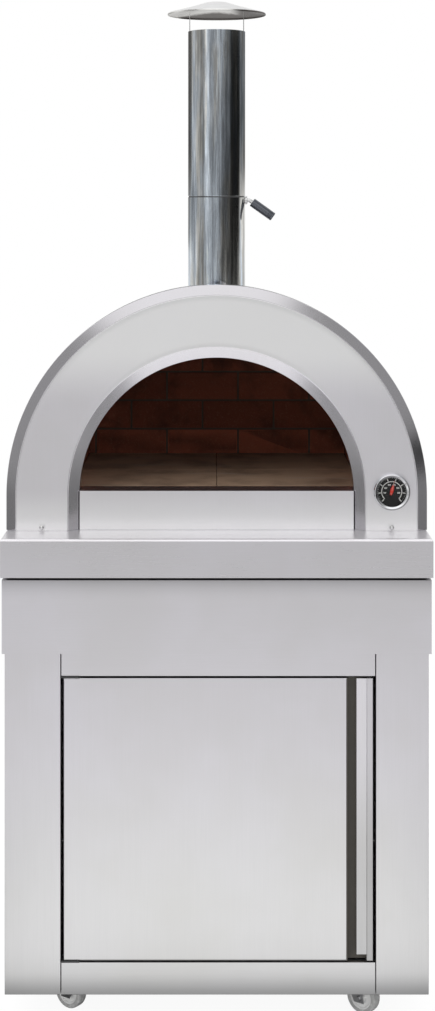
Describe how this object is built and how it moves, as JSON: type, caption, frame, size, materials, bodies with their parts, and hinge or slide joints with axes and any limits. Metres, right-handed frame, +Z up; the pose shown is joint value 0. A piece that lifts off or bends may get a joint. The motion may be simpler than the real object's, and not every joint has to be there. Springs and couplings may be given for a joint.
{
  "type": "outdoor pizza oven module",
  "caption": "Free-standing outdoor oven module: arched wood-fired chamber with flue, damper and rain cap on a wheeled steel cabinet with a side-hinged door.",
  "frame": {"origin": "on the floor, under the middle of the counter", "axes": "+Z up, front of the module towards -Y, +X to the right seen from the front"},
  "size_m": [0.82, 0.72, 1.986],
  "materials": {
    "brushed_steel": "satin brushed stainless steel",
    "polished_steel": "polished stainless steel",
    "dark_steel": "dark coated steel",
    "zinc_plated_steel": "zinc-plated pressed steel",
    "firebrick": "rough fired brick",
    "hearth_stone": "cordierite baking stone",
    "insulation": "ceramic fibre",
    "dial_black": "matt black enamel",
    "needle_red": "red paint",
    "lens_glass": "clear lens",
    "wheel_grey": "grey thermoplastic rubber"
  },
  "bodies": {
    "root": {"countertop": "brushed_steel", "upper_apron": "brushed_steel", "left_side_panel": "brushed_steel", "right_side_panel": "brushed_steel", "top_rail": "brushed_steel", "bottom_rail": "brushed_steel", "cabinet_floor": "brushed_steel", "cabinet_back_panel": "brushed_steel", "front_surround": "brushed_steel", "sill_panel": "brushed_steel", "oven_shell": "brushed_steel", "oven_back_panel": "brushed_steel", "flue_flange": "brushed_steel", "rain_cap": "brushed_steel", "cap_strap_left": "brushed_steel", "cap_strap_right": "brushed_steel", "counter_subframe": "dark_steel", "upper_hinge": "dark_steel", "lower_hinge": "dark_steel", "door_catch": "dark_steel", "throat_ring": "dark_steel", "hearth_tray": "dark_steel", "flue_throat": "dark_steel", "lower_flue_pipe": "polished_steel", "upper_flue_pipe": "polished_steel", "damper_bush": "polished_steel", "thermometer_case": "polished_steel", "thermometer_bezel": "polished_steel", "face_peg_left": "polished_steel", "face_peg_right": "polished_steel", "brick_vault": "firebrick", "brick_back_wall": "firebrick", "hearth_stone_1": "hearth_stone", "hearth_stone_2": "hearth_stone", "hearth_stone_3": "hearth_stone", "hearth_stone_4": "hearth_stone", "insulation_blanket": "insulation", "rear_insulation_board": "insulation", "hearth_insulation_board": "insulation", "thermometer_dial": "dial_black", "thermometer_glass": "lens_glass", "front_left_caster_plate": "zinc_plated_steel", "front_right_caster_plate": "zinc_plated_steel", "rear_left_caster_plate": "zinc_plated_steel", "rear_right_caster_plate": "zinc_plated_steel"},
    "door": {"door_skin": "brushed_steel", "door_liner": "brushed_steel", "door_pull": "brushed_steel"},
    "damper": {"damper_shaft": "polished_steel", "damper_plate": "polished_steel", "damper_grip": "dark_steel"},
    "needle": {"thermometer_needle": "needle_red"},
    "front_left_swivel": {"front_left_caster_fork": "zinc_plated_steel"},
    "front_left_wheel": {"front_left_caster_wheel": "wheel_grey"},
    "front_right_swivel": {"front_right_caster_fork": "zinc_plated_steel"},
    "front_right_wheel": {"front_right_caster_wheel": "wheel_grey"},
    "rear_left_swivel": {"rear_left_caster_fork": "zinc_plated_steel"},
    "rear_left_wheel": {"rear_left_caster_wheel": "wheel_grey"},
    "rear_right_swivel": {"rear_right_caster_fork": "zinc_plated_steel"},
    "rear_right_wheel": {"rear_right_caster_wheel": "wheel_grey"}
  },
  "joints": [
    {"name": "door_swing", "type": "hinge", "parent": "root", "child": "door", "pos_m": [-0.281, -0.334, 0.4], "axis": [0, 0, -1], "range_deg": [0, 110]},
    {"name": "damper_turn", "type": "hinge", "parent": "root", "child": "damper", "pos_m": [0, -0.1, 1.582], "axis": [-1, 0, 0], "range_deg": [0, 90]},
    {"name": "needle_sweep", "type": "hinge", "parent": "root", "child": "needle", "pos_m": [0.33875, -0.282, 1.0178], "axis": [0, 1, 0], "range_deg": [-150, 120]},
    {"name": "front_left_caster_swivel", "type": "hinge", "parent": "root", "child": "front_left_swivel", "pos_m": [-0.27, -0.245, 0.08], "axis": [0, 0, 1], "continuous": true},
    {"name": "front_left_wheel_roll", "type": "hinge", "parent": "front_left_swivel", "child": "front_left_wheel", "pos_m": [-0.28597, -0.23296, 0.0325], "axis": [-0.6018, -0.7986, 0], "continuous": true},
    {"name": "front_right_caster_swivel", "type": "hinge", "parent": "root", "child": "front_right_swivel", "pos_m": [0.27, -0.245, 0.08], "axis": [0, 0, 1], "continuous": true},
    {"name": "front_right_wheel_roll", "type": "hinge", "parent": "front_right_swivel", "child": "front_right_wheel", "pos_m": [0.28597, -0.25704, 0.0325], "axis": [-0.6018, -0.7986, 0], "continuous": true},
    {"name": "rear_left_caster_swivel", "type": "hinge", "parent": "root", "child": "rear_left_swivel", "pos_m": [-0.27, 0.245, 0.08], "axis": [0, 0, 1], "continuous": true},
    {"name": "rear_left_wheel_roll", "type": "hinge", "parent": "rear_left_swivel", "child": "rear_left_wheel", "pos_m": [-0.28597, 0.25704, 0.0325], "axis": [-0.6018, -0.7986, 0], "continuous": true},
    {"name": "rear_right_caster_swivel", "type": "hinge", "parent": "root", "child": "rear_right_swivel", "pos_m": [0.27, 0.245, 0.08], "axis": [0, 0, 1], "continuous": true},
    {"name": "rear_right_wheel_roll", "type": "hinge", "parent": "rear_right_swivel", "child": "rear_right_wheel", "pos_m": [0.28597, 0.23296, 0.0325], "axis": [-0.6018, -0.7986, 0], "continuous": true}
  ]
}
